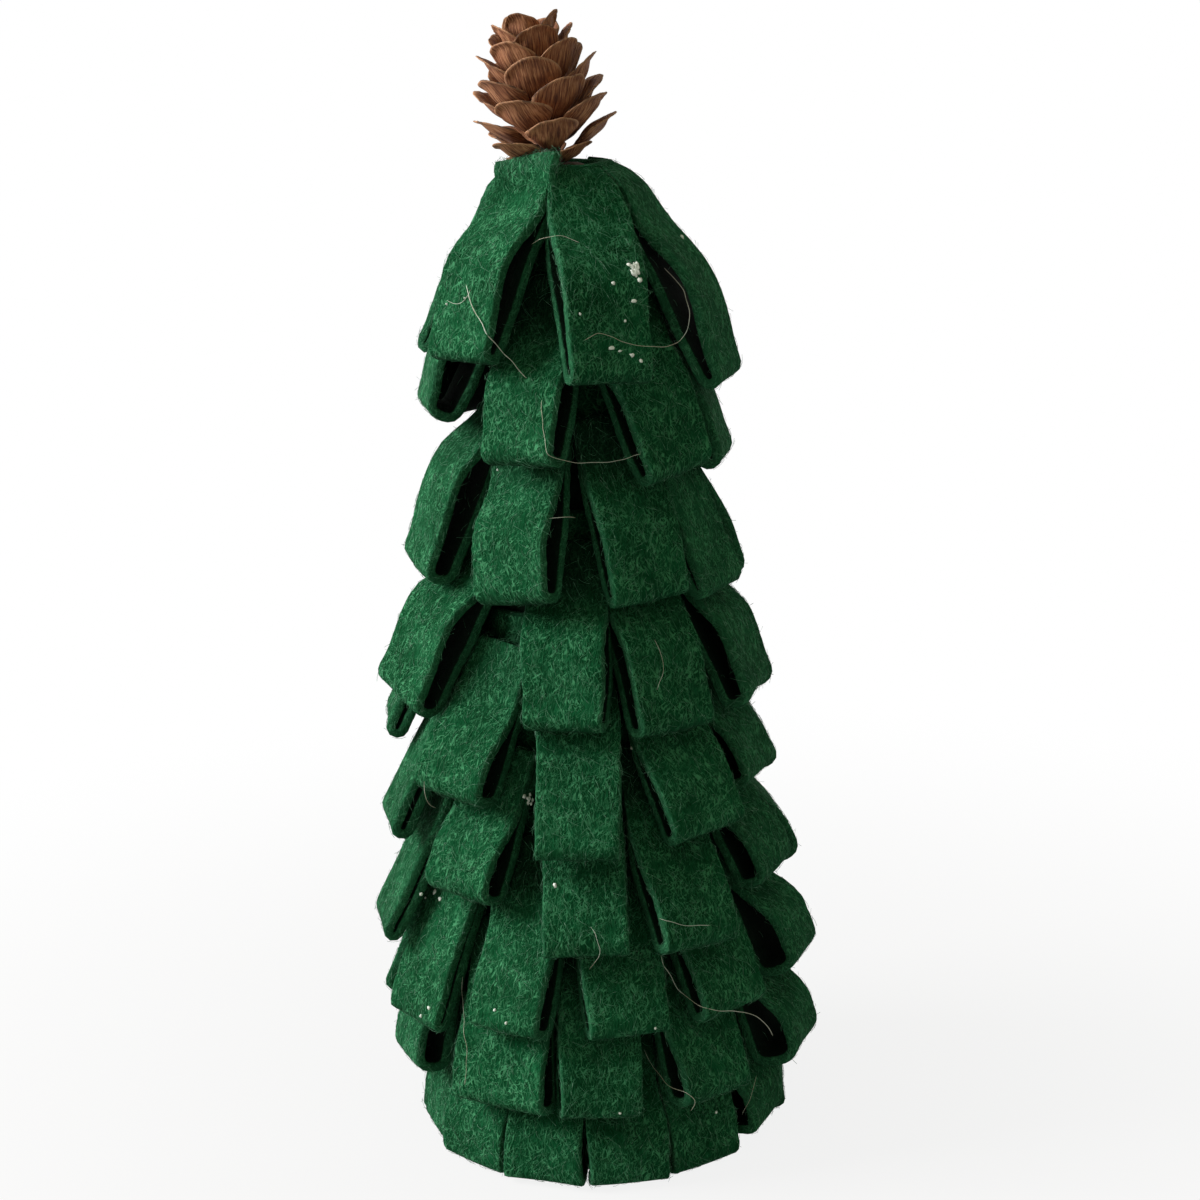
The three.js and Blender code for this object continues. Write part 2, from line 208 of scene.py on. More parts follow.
TIERS = [
    Tier(0.0005, 0.4, 0.85, 1, 13, 0.15, [
        (-72, 0, 0.6), (-45, 0, 1), (-18, 0, 1.3), (8, 0, 1.4), (34, 0, 1.1), (61, -0.1, 1.4, 0, -8),
        (88, -0.04, 1.25),
    ]),
    Tier(0.088, 0.45, 0.88, 1, 12, 0.7, [
        (-94, 0.04, 0.2), (-74, 0.02, 0.8, 0, -6), (-31, 0.04, 0.7, 2, 2, 0, 0, 1.3),
        (2, 0.05, 0.8, -3, -6), (33, 0.03, 0.8, 0, -6), (69, 0.01, 1.5), (96, 0.04, 0.9),
    ]),
    Tier(0.178, 0.42, 0.85, 1, 12, 0.7, [
        (-98, 0.2, 0), (-61, 0.17, 0.1, 0, -8), (-26, 0.06, 0.7, 2, 10), (8, 0.06, 0.5, 0, -6),
        (39, 0.03, 0.5, 0, -2), (72, -0.02, 1.3, 0, 4), (96, -0.04, 0.6),
    ]),
    Tier(0.27, 0.42, 0.85, 1, 11, 0.7, [
        (-80, 0.25, 0.1), (-43, -0.13, 0.9, -2, -2), (-2.5, 0.09, 0.5, 0, -2), (27.5, 0.09, 0.6),
        (67, -0.08, 0.8),
    ]),
    Tier(0.374, 0.42, 0.85, 1, 11, 0.7, [
        (-80, 0.2, 0.2), (-46, -0.11, 0.9, -5, -10), (-3, 0.12, 0.5, -1, 0), (30, 0.07, 0.6, 6, -2),
        (66, -0.09, 0.7, 0, -3),
    ]),
    Tier(0.482, 0.3, 0.65, 0.7, 10, 0.8, [
        (-96, 0.31, 0.2, -2, -8), (-66, 0.06, 1, -14, -8, 0, 0.5), (-9, 0.02, 0.9, 2, 8),
        (28, 0.07, 0.8, 0, -2), (69, 0.04, 0.9, 0, -4),
    ]),
    Tier(0.608, 0.3, 0.75, 0.65, 9, 0.8, [
        (-73.5, 0, 1.05, -7, -3, 0, 1), (-31, 0.03, 1, 8, 5), (23, 0.04, 0.5, 2, -4),
        (60, 0.08, 0.1, 0, -3),
    ]),
    Tier(0.743, 0.3, 0.7, 0.7, 8, 0.8, [
        (-80, -0.16, 1.2, 0, 0, 0.6), (-24, 0.02, 1, 4, 12), (31, 0.14, 0.6, 8, -8), (80, 0.16, 0.5),
    ]),
    Tier(0.824, 0.2, 0.62, 0.3, 6, 0.9, [
        (-125, 0, 0.1), (-46, -0.09, 0.9, 2, 0), (16, 0.02, 1, -4, -5), (72, 0.13, 0.9),
    ]),
]


# Numbers and side views.


def lerp(first, second, share):
    return first + (second - first) * share


def smooth(value, low, high):
    share = np.clip((value - low) / (high - low), 0, 1)
    return share * share * (3 - 2 * share)


def swung(first, second, angle):
    """Two parts at right angles to each other, turned by an angle from the second to the first."""
    return first * np.cos(angle) + second * np.sin(angle), second * np.cos(angle) - first * np.sin(angle)


def turn_between(first, second):
    """How far two angles lie apart."""
    turn = abs(first - second) % 360
    return min(turn, 360 - turn)


def core_radius(height):
    return lerp(CORE_BASE_RADIUS, CORE_TOP_RADIUS, height / CORE_HEIGHT)


def lengths_of(path):
    return [(b - a).length for a, b in zip(path, path[1:])]


def point_at(path, share):
    """The point at a share of a path's length."""
    lengths = lengths_of(path)
    left = share * sum(lengths)
    for index, length in enumerate(lengths):
        if left <= length or index == len(lengths) - 1:
            return path[index].lerp(path[index + 1], left / length)
        left -= length
    return path[0]


def outward_at(path, share):
    """The direction away from the core at a share of a path."""
    span = 0.08
    along = point_at(path, min(1, share + span)) - point_at(path, max(0, share - span))
    along.normalize()
    return Vector((-along.y, along.x))


def taut_path(points):
    """The path of a sheet pulled taut over points that are given from the top down."""
    path = []
    for point in points:
        while len(path) > 1:
            over, ahead = path[-1] - path[-2], point - path[-2]
            if over.x * ahead.y - over.y * ahead.x < 0:
                break
            path.pop()
        path.append(point)
    return path


def shortened(path, length):
    """A path without the last stretch, which the fold takes up."""
    kept = list(path)
    while len(kept) > 2 and (kept[-1] - kept[-2]).length <= length:
        length -= (kept[-1] - kept[-2]).length
        kept.pop()
    last = kept.pop()
    kept.append(last.lerp(kept[-1], length / (last - kept[-1]).length))
    return kept


def radius_at(line, height):
    """The radius at a height of a line of points that runs from the top down."""
    for upper, lower in zip(line, line[1:]):
        if lower.y <= height <= upper.y:
            fall = 0 if upper.y == lower.y else (upper.y - height) / (upper.y - lower.y)
            return lerp(upper.x, lower.x, fall)
    return None


def opening_at(tab, tier, share):
    """How far the two layers of a loop stand apart at a share of its path."""
    opening = LOOP_OPENING * tab.open
    part, widest = lerp(tier.part, 0.03, tab.belly), lerp(tier.widest, 0.45, tab.belly)
    if share <= widest:
        return opening * smooth(share, part, widest)
    return opening * lerp(1, tier.close, smooth(share, widest, 1))


def on_top(tier):
    return tier is TIERS[-1]


def header_height(tier):
    return CORE_HEIGHT * tier.tip + LOOP_LENGTH


def tabs_of(tier):
    """All the tabs of a tier. Those that were not listed share the arc round the back."""
    tabs = [Tab(*values) for values in tier.placed]
    first, last = tabs[0], tabs[-1]
    missing = tier.count - len(tabs)
    arc = 360 - (last.turn - first.turn)
    for index in range(1, missing + 1):
        share = index / (missing + 1)
        drop, opened = lerp(last.drop, first.drop, share), lerp(last.open, first.open, share)
        tabs.append(Tab(last.turn + arc * share, drop, opened))
    for tab, following in zip(tabs, tabs[1:] + tabs[:1]):
        tab.after = following.before = turn_between(tab.turn, following.turn)
    return tabs


def points_below(tab, lower_tabs, tip_height, start_height):
    """The points, from the top down, that a tab has to pass outside of."""
    reach = 2 * 360 / len(lower_tabs) if lower_tabs else 0
    points = []
    for lower in lower_tabs:
        if turn_between(tab.turn, lower.turn) > reach:
            continue
        for height in [tip_height, *(point.y for point in lower.outer)]:
            radius = radius_at(lower.outer, height) if tip_height <= height <= start_height else None
            if radius is not None:
                points.append(Vector((hypot(radius, TAB_WIDTH / 2) + CLEARANCE, height)))
    return sorted(points, key=lambda point: (-point.y, point.x))


def shape_tab(tab, tier, lower_tabs):
    """The side view of one tab: its inner line against what lies below, and its outer line."""
    tip = CORE_HEIGHT * tier.tip - LOOP_LENGTH * tab.drop
    header = header_height(tier)
    if on_top(tier):
        start = [
            Vector((COLLAR_RADIUS, CORE_TOP + COLLAR_RISE)),
            Vector((CORE_TOP_RADIUS + CLEARANCE, CORE_TOP)),
        ]
    else:
        start = [Vector((core_radius(header) + CLEARANCE, header))]
    below = points_below(tab, lower_tabs, tip, start[-1].y)
    end = Vector((core_radius(tip) + CLEARANCE, tip))
    if below:
        end.x = max(end.x, below[-1].x)
    end.x += LOOP_OPENING * tab.stand
    tab.taut = taut_path([*start, *below, end])
    tab.path = shortened(tab.taut, FOLD_HEIGHT)
    bend = (tab.taut[1] - tab.taut[0]).length / sum(lengths_of(tab.taut))
    open_shares = [lerp(tier.part, 1, share) for share in SLOT_SHARES]
    tab.outer = [
        point_at(tab.path, share) + outward_at(tab.path, share) * (2 * FELT + opening_at(tab, tier, share))
        for share in [*([0, bend] if on_top(tier) else [0]), tier.part, *open_shares, 1]
    ]


# The felt as a thick sheet.


def places_along(line):
    """How far along a line of points, which are the rows of an array, each of them lies."""
    return np.concatenate([[0], np.cumsum(np.linalg.norm(np.diff(line, axis=0), axis=1))])


def evenly(line, spacing):
    """A line with new points at an even spacing."""
    places = places_along(line)
    count = max(4, round(places[-1] / spacing) + 1)
    wanted = np.linspace(0, places[-1], count)
    return np.stack([np.interp(wanted, places, line[:, axis]) for axis in range(line.shape[1])], axis=1)


def eased(line, rounds):
    """A line with its corners rounded off and its ends kept."""
    line = line.copy()
    for _ in range(rounds):
        line[1:-1] = line[1:-1] / 2 + (line[:-2] + line[2:]) / 4
    return line


def directions(line):
    along = np.gradient(line, axis=0)
    return along / np.linalg.norm(along, axis=1)[:, None]


def felt_line(tab, tier):
    """The middle of the felt in the tab's plane: down the inner layer, round the fold and up the outer.

    The second result is 0 on the inner layer and 1 on the outer one.
    """
    ring_spacing = lerp(0.7, 1.35, tier.roundness)
    ease_rounds = 24
    fold_steps = 12
    fold_power = lerp(0.35, 0.9, tier.roundness)
    half = (FELT + opening_at(tab, tier, 1)) / 2
    fold = FELT / 2 + half * tier.roundness
    path = np.array(shortened(tab.taut, fold))
    base = eased(evenly(path, 0.8), ease_rounds)
    along = directions(base)
    outward = np.stack([-along[:, 1], along[:, 0]], axis=1)
    openings = np.array([opening_at(tab, tier, share) for share in np.linspace(0, 1, len(base))])
    inner = base + outward * FELT / 2
    outer = base + outward * (1.5 * FELT + openings)[:, None]
    middle = (inner[-1] + outer[-1]) / 2
    reach = (outer[-1] - inner[-1]) / 2
    down = np.array([outward[-1, 1], -outward[-1, 0]]) * half * tier.roundness
    angles = pi * np.arange(1, fold_steps) / fold_steps
    out = -np.sign(np.cos(angles)) * np.abs(np.cos(angles)) ** fold_power
    sag = np.sin(angles) ** fold_power
    turn = middle + out[:, None] * reach + sag[:, None] * down
    whole = np.concatenate([inner, turn, outer[::-1]])
    side = np.concatenate([np.zeros(len(inner)), (1 + out) / 2, np.ones(len(outer))])
    spaced = evenly(np.column_stack([whole, side]), ring_spacing)
    return eased(spaced[:, :2], 1), spaced[:, 2]


def felt_section():
    """The outline of the cut felt, once round it.

    Each point has its share of the half width, what the rounded corner adds to that, its place
    through the thickness, and the mark of the cut edge.
    """
    flat, deep = CORNER * 0.707, FELT / 2 - CORNER
    edge = [(flat, -deep - flat), (CORNER, -deep), (CORNER, deep), (flat, deep + flat)]
    rows = [(share, 0, -FELT / 2, 0) for share in (0, -0.45, -0.88, -1)]
    rows += [(-1, -beyond, through, 1) for beyond, through in edge]
    rows += [(share, 0, FELT / 2, 0) for share in (-1, -0.88, -0.45, 0, 0.45, 0.88, 1)]
    rows += [(1, beyond, through, 1) for beyond, through in reversed(edge)]
    rows += [(share, 0, -FELT / 2, 0) for share in (1, 0.88, 0.45)]
    return np.array(rows)


def add_object(name, data):
    thing = bpy.data.objects.new(name, data)
    bpy.context.scene.collection.objects.link(thing)
    return thing


def new_mesh(name, points, faces, layer=None, places=(), marks=None):
    """A mesh. Its layer holds the place of each face corner on the flat, and its marks are by point."""
    mesh = bpy.data.meshes.new(name)
    mesh.from_pydata(points, [], faces)
    if layer:
        flat = np.array(places, np.float32).ravel()
        mesh.uv_layers.new(name=layer).uv.foreach_set("vector", flat)
    for mark, values in (marks or {}).items():
        kind, field = ("FLOAT_VECTOR", "vector") if values.shape[1] == 3 else ("FLOAT", "value")
        values = values.astype(np.float32).ravel()
        mesh.attributes.new(mark, kind, "POINT").data.foreach_set(field, values)
    return mesh


def new_piece(name, mesh, finish):
    """A smooth mesh with its finish, as an object of its own."""
    mesh.shade_smooth()
    mesh.materials.append(finish)
    return add_object(name, mesh)


class Skin:
    """Points and faces that are gathered for one piece.

    With them go the place of each face corner on the flat cloth and the marks of each point.
    """

    def __init__(self):
        self.points = []
        self.faces = []
        self.places = []
        self.marks = {}
        self.count = 0

    def sweep(self, rings, across, along, marks, closed=False):
        """Adds a tube through rings of points, all in the same order round it, and closes its ends."""
        number, size = rings.shape[:2]
        index = self.count + np.arange(number * size).reshape(number, size)
        last = number if closed else number - 1
        for step in range(last):
            here, there = index[step], index[(step + 1) % number]
            for side in range(size):
                other = (side + 1) % size
                self.faces.append((here[side], here[other], there[other], there[side]))
                left, right = across[side], across[side + 1]
                near, far = along[step], along[step + 1]
                self.places += [(left, near), (right, near), (right, far), (left, far)]
        if not closed:
            self.faces += [tuple(index[0][::-1]), tuple(index[-1])]
            self.places += [(across[side], along[0]) for side in range(size)][::-1]
            self.places += [(across[side], along[-1]) for side in range(size)]
        self.points.append(rings.reshape(-1, 3))
        for name, values in marks.items():
            self.marks.setdefault(name, []).append(values.reshape(number * size, -1))
        self.count += number * size

    def piece(self, name, finish):
        """The gathered skin as an object, in metres."""
        points, places = np.concatenate(self.points) * MM, np.array(self.places, np.float32) * MM
        marks = {mark: np.concatenate(values) for mark, values in self.marks.items()}
        return new_piece(name, new_mesh(name, points, self.faces, "cloth", places, marks), finish)


SECTION = felt_section()
SECTION_OUTLINE = np.column_stack([SECTION[:, 0] * TAB_WIDTH / 2 + SECTION[:, 1], SECTION[:, 2]])
SECTION_PLACES = places_along(SECTION_OUTLINE)
SECTION_PLACES = np.append(SECTION_PLACES, SECTION_PLACES[-1] + TAB_WIDTH / 4)


def unrest(points, wave, height, shift):
    """Points moved a little, as handwork leaves them: by up to a height, in waves of a length."""
    moved = [noise.noise_vector(Vector(point) / wave + shift) for point in points.reshape(-1, 3)]
    return points + np.array(moved).reshape(points.shape) * height


def felt_marks(rings, fringe, rim, hollow, run):
    """The marks of a skin of felt, spread over its rings."""
    levels = {"fringe": fringe, "rim": rim, "hollow": hollow}
    marks = {name: np.broadcast_to(level, rings.shape[:2]) for name, level in levels.items()}
    return marks | {"run": np.broadcast_to(run, rings.shape)}


def set_round(turn, radius, across, height):
    """Points that are given in a tab's side view and across it, set at its turn round the axis."""
    out = np.array([sin(radians(turn)), -cos(radians(turn)), 0])
    beside = np.array([cos(radians(turn)), sin(radians(turn)), 0])
    up = np.array([0, 0, 1])
    return radius[..., None] * out + across[..., None] * beside + height[..., None] * up


def add_tab(skin, tab, tier, number):
    """Sweeps one loop of felt into the strip's skin."""
    line, side = felt_line(tab, tier)
    along = directions(line)
    facing = np.stack([along[:, 1], -along[:, 0]], axis=1)
    share, corner, through, cut = SECTION.T
    radius = line[:, 0, None] + facing[:, 0, None] * through
    height = line[:, 1, None] + facing[:, 1, None] * through
    turn = np.where(share < 0, tab.before, tab.after)
    room = np.minimum(TAB_WIDTH / 2 * tab.wide, radius * np.tan(np.radians(turn / 2)) - SLIT / 2)
    across = share * np.maximum(room - CORNER, CORNER) + corner
    drop = line[0, 1] - height
    hung = drop / LOOP_LENGTH
    across, drop = swung(across, drop, radians(tab.lean))
    pivot = line[np.argmin(line[:, 1]), 0]
    radius, across = swung(radius - pivot, across, radians(tab.roll) * np.clip(hung, 0, 1))
    rings = set_round(tab.turn, pivot + radius, across, line[0, 1] - drop)
    shift = Vector((number * 7.3, len(skin.points) * 3.1, 0))
    rings = unrest(rings, SAG_WAVE, SAG, shift)
    rings = rings + (unrest(rings, WEAR_WAVE, WEAR, shift) - rings) * lerp(FACE_WEAR, 1, cut)[:, None]
    side = side[:, None]
    fringe = np.maximum(FACE_FRINGE, side * (through > 0)) + cut * lerp(*EDGE_FRINGES, side)
    # Painted shade: the inner layer and the inside of the loop are darkened, the cut edges less, and so is
    # the felt that a tier above covers.
    hollow = (1 - side * (0.5 + through / FELT) ** 0.5) * lerp(1, EDGE_SHADE, cut)
    painted_cover_shade = 0 if on_top(tier) else COVERED_SHADES[tab.turn > COVERED_TURN]
    hollow = np.maximum(hollow, painted_cover_shade * (1 - smooth(hung, *COVERED_SHARES)))
    run = set_round(tab.turn, along[:, 0], 0 * along[:, 0], along[:, 1])
    marks = felt_marks(rings, fringe, cut, hollow, run[:, None])
    skin.sweep(rings, SECTION_PLACES + number * 53.0, places_along(line) + number * 97.0, marks)


def add_band(skin, section, sides, cloth, levels, sag=0, shift=Vector((0, 0, 0))):
    """Sweeps a section, given as radius and height, once round the axis into the strip's skin.

    cloth is its girth and the radius that its length is measured at, and levels are those of the
    fringe and of the painted shade of the hollows.
    """
    angles = 2 * pi * np.arange(sides) / sides
    radius = section[:, 0] + 0 * angles[:, None]
    rings = np.stack(
        [radius * np.sin(angles)[:, None], -radius * np.cos(angles)[:, None], section[:, 1] + 0 * radius],
        axis=2,
    )
    rings = unrest(rings, BAND_WAVE, sag, shift)
    run = np.stack([np.cos(angles), np.sin(angles), 0 * angles], axis=1)
    marks = felt_marks(rings, levels[0], 0, levels[1], run[:, None])
    along = 2 * pi * cloth[1] * np.arange(sides + 1) / sides
    skin.sweep(rings, cloth[0] * np.arange(len(section) + 1) / len(section), along, marks, closed=True)


def add_header(skin, tier, number):
    """Sweeps the uncut band round the foam cone, or over its top edge, into the strip's skin."""
    depth = 2 * FELT - BAND_PRESS
    if on_top(tier):
        inner, outer = COLLAR_RADIUS, CORE_TOP_RADIUS
        low, high = CORE_TOP, CORE_TOP + COLLAR_RISE + depth
        middle = ((inner + outer) / 2, (low + high) / 2)
        reach = ((outer - inner) / 2, (high - low) / 2)
    else:
        top = header_height(tier)
        inner = core_radius(top - HEADER_BAND / 2) + CLEARANCE
        middle = (inner + depth / 2, top - HEADER_BAND / 2)
        reach = (depth / 2, HEADER_BAND / 2)
    around = 2 * pi * np.arange(16) / 16
    power = 0.45
    bulge = [np.sign(f(around)) * np.abs(f(around)) ** power * r for f, r in zip((np.cos, np.sin), reach)]
    section = np.stack([middle[0] + bulge[0], middle[1] + bulge[1]], axis=1)[::-1]
    cloth = (2 * (HEADER_BAND + depth), middle[0])
    # The fringe, and painted shade: the glued band is darkened fully, but not the collar on top.
    levels = (0.3, 0.0 if on_top(tier) else 1.0)
    add_band(skin, section, 96, cloth, levels, BAND_SAG, Vector((number, 0, 0)))


def add_flap(skin, number):
    """Sweeps the upper end of the front left loop, which was not glued down and stands up."""
    middle = evenly(np.array([FLAP_FOOT, FLAP_TOP], float), 0.9)
    along = directions(middle)
    share, corner, through, cut = SECTION.T
    half = np.linspace(*FLAP_WIDTHS, len(middle))[:, None] * TAB_WIDTH / 2
    radius = middle[:, 0, None] + along[:, 1, None] * through
    height = middle[:, 1, None] - along[:, 0, None] * through
    across = share * half + corner
    height = height + FLAP_SLANT * across * smooth(height, FLAP_FOOT[1], FLAP_TOP[1])
    rings = set_round(FLAP_TURN, radius, across, height)
    rings = unrest(rings, FLAP_WAVE, FLAP_SAG, Vector((number, 5, 0)))
    ragged = smooth(middle[:, 1], FLAP_TOP[1] - FLAP_WORN, FLAP_TOP[1])[:, None]
    marks = felt_marks(rings, 5 * ragged + 0.8 * cut, np.maximum(cut, ragged * 0.6), 0, (0, 0, 1))
    places = np.linspace(0, 15, len(middle)) + number * 31.0
    skin.sweep(rings, SECTION_PLACES, places, marks)


def add_lining(skin, tier):
    """Sweeps the single layer of felt that runs on up the foam cone, above the glued band."""
    low = header_height(tier) - LINING_THICKNESS
    high = header_height(tier) + LINING_RISE
    levels = [
        (low, LINING_THICKNESS), (high - 0.6, LINING_THICKNESS), (high, LINING_THICKNESS - 0.5),
        (high, 0), (low, 0),
    ]
    section = np.array([(core_radius(level) + CLEARANCE + depth, level) for level, depth in levels])
    # The lining carries painted shade at half strength.
    add_band(skin, section, 72, (24, section[0, 0]), (0.1, 0.5))


# Finishes.


class Wire:
    """The output of a node, for use in expressions."""

    def __init__(self, nodes, socket):
        self.nodes = nodes
        self.socket = socket

    def __add__(self, other):
        return self.nodes.maths("ADD", self, other)

    def __sub__(self, other):
        return self.nodes.maths("SUBTRACT", self, other)

    def __rsub__(self, other):
        return self.nodes.maths("SUBTRACT", other, self)

    def __mul__(self, other):
        return self.nodes.maths("MULTIPLY", self, other)

    def __abs__(self):
        return self.nodes.maths("ABSOLUTE", self)

    __radd__ = __add__
    __rmul__ = __mul__


class Nodes:
    """A node tree that is being filled: a finish, the world, or a maker of shapes."""

    def __init__(self, tree):
        self.tree = tree
        tree.nodes.clear()

    def add(self, kind, sockets=None, output=0, **settings):
        """One node of a kind, with the values or links of its sockets and with its settings."""
        node = self.tree.nodes.new(kind)
        for name, value in settings.items():
            if name == "stops":
                ramp = node.color_ramp.elements
                while len(ramp) < len(value):
                    ramp.new(1)
                for stop, (position, colour) in zip(ramp, value):
                    stop.position = position
                    stop.color = (*colour, 1)
            else:
                setattr(node, name, value)
        for name, value in (sockets or {}).items():
            if isinstance(value, Wire):
                self.tree.links.new(value.socket, node.inputs[name])
            elif node.inputs[name].type == "RGBA":
                node.inputs[name].default_value = (*value, 1)
            else:
                node.inputs[name].default_value = value
        return Wire(self, node.outputs[output]) if node.outputs else None

    def maths(self, operation, *values):
        return self.add("ShaderNodeMath", dict(enumerate(values)), operation=operation)

    def step(self, value, low, high):
        """A soft step from 0 at low to 1 at high."""
        sockets = {"Value": value, "From Min": low, "From Max": high}
        return self.add("ShaderNodeMapRange", sockets, interpolation_type="SMOOTHSTEP")

    def blend(self, share, first, second):
        """A colour between two."""
        return self.add("ShaderNodeMix", {0: share, 6: first, 7: second}, 2, data_type="RGBA")

    def ramp(self, tone, *stops):
        """A colour from a row of places and colours."""
        return self.add("ShaderNodeValToRGB", {0: tone}, stops=stops)

    def body(self):
        """The place on the piece, in metres."""
        return self.add("ShaderNodeTexCoord", {}, "Object")

    def cloth(self, name):
        """The place on the flat cloth or scale."""
        return self.add("ShaderNodeUVMap", uv_map=name)

    def mark(self, name):
        """A mark that the points of the piece carry."""
        return self.add("ShaderNodeAttribute", {}, "Fac", attribute_name=name)

    def swayed(self, place, drift, reach):
        """A place that is pushed about by a drift."""
        sockets = {0: drift, 1: reach, 2: place}
        return self.add("ShaderNodeVectorMath", sockets, operation="MULTIPLY_ADD")

    def noise(self, vector, size, detail=2, output=0):
        """Cloudy noise whose clouds are about a size across, in millimetres."""
        sockets = {"Vector": vector, "Scale": 1 / (size * MM), "Detail": detail}
        return self.add("ShaderNodeTexNoise", sockets, output)

    def stretched(self, vector, turn, across, along, detail=1):
        """Noise drawn out into strokes of a width and a length in millimetres, turned by degrees."""
        sockets = {"Vector": vector, "Angle": radians(turn)}
        turned = self.add("ShaderNodeVectorRotate", sockets, rotation_type="Z_AXIS")
        scales = (1 / (across * MM), 1 / (along * MM), 1)
        drawn = self.add("ShaderNodeVectorMath", {0: turned, 1: scales}, operation="MULTIPLY")
        return self.add("ShaderNodeTexNoise", {"Vector": drawn, "Scale": 1, "Detail": detail})

    def strand(self, vector, turn, across, along):
        """Thin curling lines, where drawn-out noise crosses its middle."""
        return 1 - abs(self.stretched(vector, turn, across, along) - 0.5) * 36

    def bump(self, height, depth, strength):
        sockets = {"Height": height, "Distance": depth * MM, "Strength": strength}
        return self.add("ShaderNodeBump", sockets)

    def surface(self, shader):
        self.add("ShaderNodeOutputMaterial", {"Surface": shader})


def new_finish(name):
    material = bpy.data.materials.new(name)
    material.use_nodes = True
    return material, Nodes(material.node_tree)


def as_finish(look):
    """Makes of a look the finish that has its name.

    A look is given the nodes and the place on the piece. It returns the colour, the roughness, the
    gloss and the bump.
    """
    material, nodes = new_finish(look.__name__)
    colour, roughness, gloss, bump = look(nodes, nodes.body())
    sockets = {"Base Color": colour, "Roughness": roughness, "Specular IOR Level": gloss}
    if bump:
        sockets["Normal"] = bump
    nodes.surface(nodes.add("ShaderNodeBsdfPrincipled", sockets))
    return material


@as_finish
def green_felt(felt, body):
    """Matted polyester felt: short strokes of fibre that cross each other, with paler curling strands.
    Painted shade darkens it nearly to black in the hollows.
    """
    cloth = felt.cloth("cloth")
    bent = felt.swayed(cloth, felt.noise(cloth, 4.5, 2, 1), (2.2 * MM, 2.2 * MM, 0))
    strokes = [
        felt.stretched(bent, 8, 0.32, 2.4),
        felt.stretched(bent, -24, 0.32, 2),
        felt.stretched(bent, 48, 0.32, 1.6),
    ]
    matted = (strokes[0] * 0.4 + strokes[1] * 0.35 + strokes[2] * 0.25 - 0.5) * 2.6 + 0.5
    strands = felt.maths("MAXIMUM", felt.strand(bent, 10, 0.85, 4.2), felt.strand(bent, -24, 0.9, 3.6))
    strands = felt.maths("MAXIMUM", strands, felt.strand(bent, 60, 1, 3.2))
    strands = felt.step(strands, 0, 0.9) * felt.step(felt.noise(cloth, 5, 2), 0.25, 0.6)
    clumps = felt.noise(body, 10, 2)
    tone = (matted - 0.5) * 0.9 + clumps
    green = felt.ramp(
        tone, (0.0, (0.0008, 0.026, 0.007)), (0.5, (0.0025, 0.058, 0.018)), (1.0, (0.01, 0.12, 0.042))
    )
    green = felt.blend(strands * (clumps * 0.7 + 0.45), green, (0.075, 0.32, 0.145))
    rim = felt.mark("rim")
    green = felt.blend(rim * felt.noise(body, 1.1, 1) * 0.6, green, (0.045, 0.2, 0.095))
    # Painted shade: the felt is darkened nearly to black where its hollow shade mark is set.
    hollow = felt.mark("hollow")
    green = felt.blend(hollow * 0.95, green, (0.0008, 0.004, 0.0018))
    return green, 0.96 - matted * 0.08, 0.06, felt.bump(matted + strands * 0.6, 0.4, 0.8)


@as_finish
def loose_fibre(fibre, body):
    """Single polyester fibres, from the felt's own green to nearly white green."""
    tone = fibre.noise(body, 0.9, 1)
    green = fibre.ramp(
        tone, (0.3, (0.03, 0.13, 0.06)), (0.55, (0.07, 0.23, 0.12)), (0.72, (0.22, 0.42, 0.29))
    )
    return green, 0.55 + tone * 0.3, 0.3, None


@as_finish
def beaded_foam(foam, body):
    """Green beaded foam: pressed beads with darker seams, its green made nearly black as painted shade for
    the gaps between the loops.
    """
    sockets = {"Vector": body, "Scale": 1 / (3 * MM)}
    seams = foam.add("ShaderNodeTexVoronoi", sockets, feature="DISTANCE_TO_EDGE")
    beads = foam.step(seams, 0, 0.18)
    shade = foam.noise(body, 3, 1)
    # The near-black green is painted shade: it makes the foam read as the dark gaps between the loops.
    green = foam.blend(beads, (0.001, 0.005, 0.002), (0.002, 0.009, 0.004))
    green = foam.blend(shade * 0.3, green, (0.004, 0.014, 0.007))
    return green, 0.9 - beads * 0.1, 0.05, foam.bump(beads, 0.4, 0.7)


@as_finish
def larch_bark(bark, body):
    """Dry larch scales: fine ribs from the foot to a pale rim, and painted shade that darkens the hollow at
    each scale's foot.
    """
    leaf = bark.cloth("leaf")
    bent = bark.swayed(leaf, bark.noise(body, 2.2, 2, 1), (0.03, 0.12, 0))
    ribs = bark.stretched(bent, 0, 28, 420, 3)
    fine = bark.stretched(bent, 0, 11, 260, 2)
    tone = (ribs - 0.5) * 2.6 + (fine - 0.5) * 1.6 + (bark.noise(body, 3.5, 3) - 0.5) * 1.2 + 0.5
    brown = bark.ramp(
        tone, (0.0, (0.09, 0.028, 0.014)), (0.45, (0.26, 0.1, 0.043)), (1.0, (0.53, 0.26, 0.125))
    )
    rim = bark.mark("rim")
    root = bark.mark("root")
    brown = bark.blend(rim * 0.5, brown, (0.6, 0.35, 0.19))
    scorch = bark.step(rim, 0.55, 1) * bark.step(bark.noise(body, 2.4, 1), 0.52, 0.62)
    brown = bark.blend(scorch * 0.8, brown, (0.03, 0.014, 0.01))
    # Painted shade: the foot of each scale, in the hollow by the stalk, is darkened nearly to black.
    brown = bark.blend(root * 0.92, brown, (0.014, 0.005, 0.004))
    return brown, 0.72 - (ribs - 0.5) * 0.5, 0.35, bark.bump(ribs * 0.7 + fine * 0.3, 0.35, 0.8)


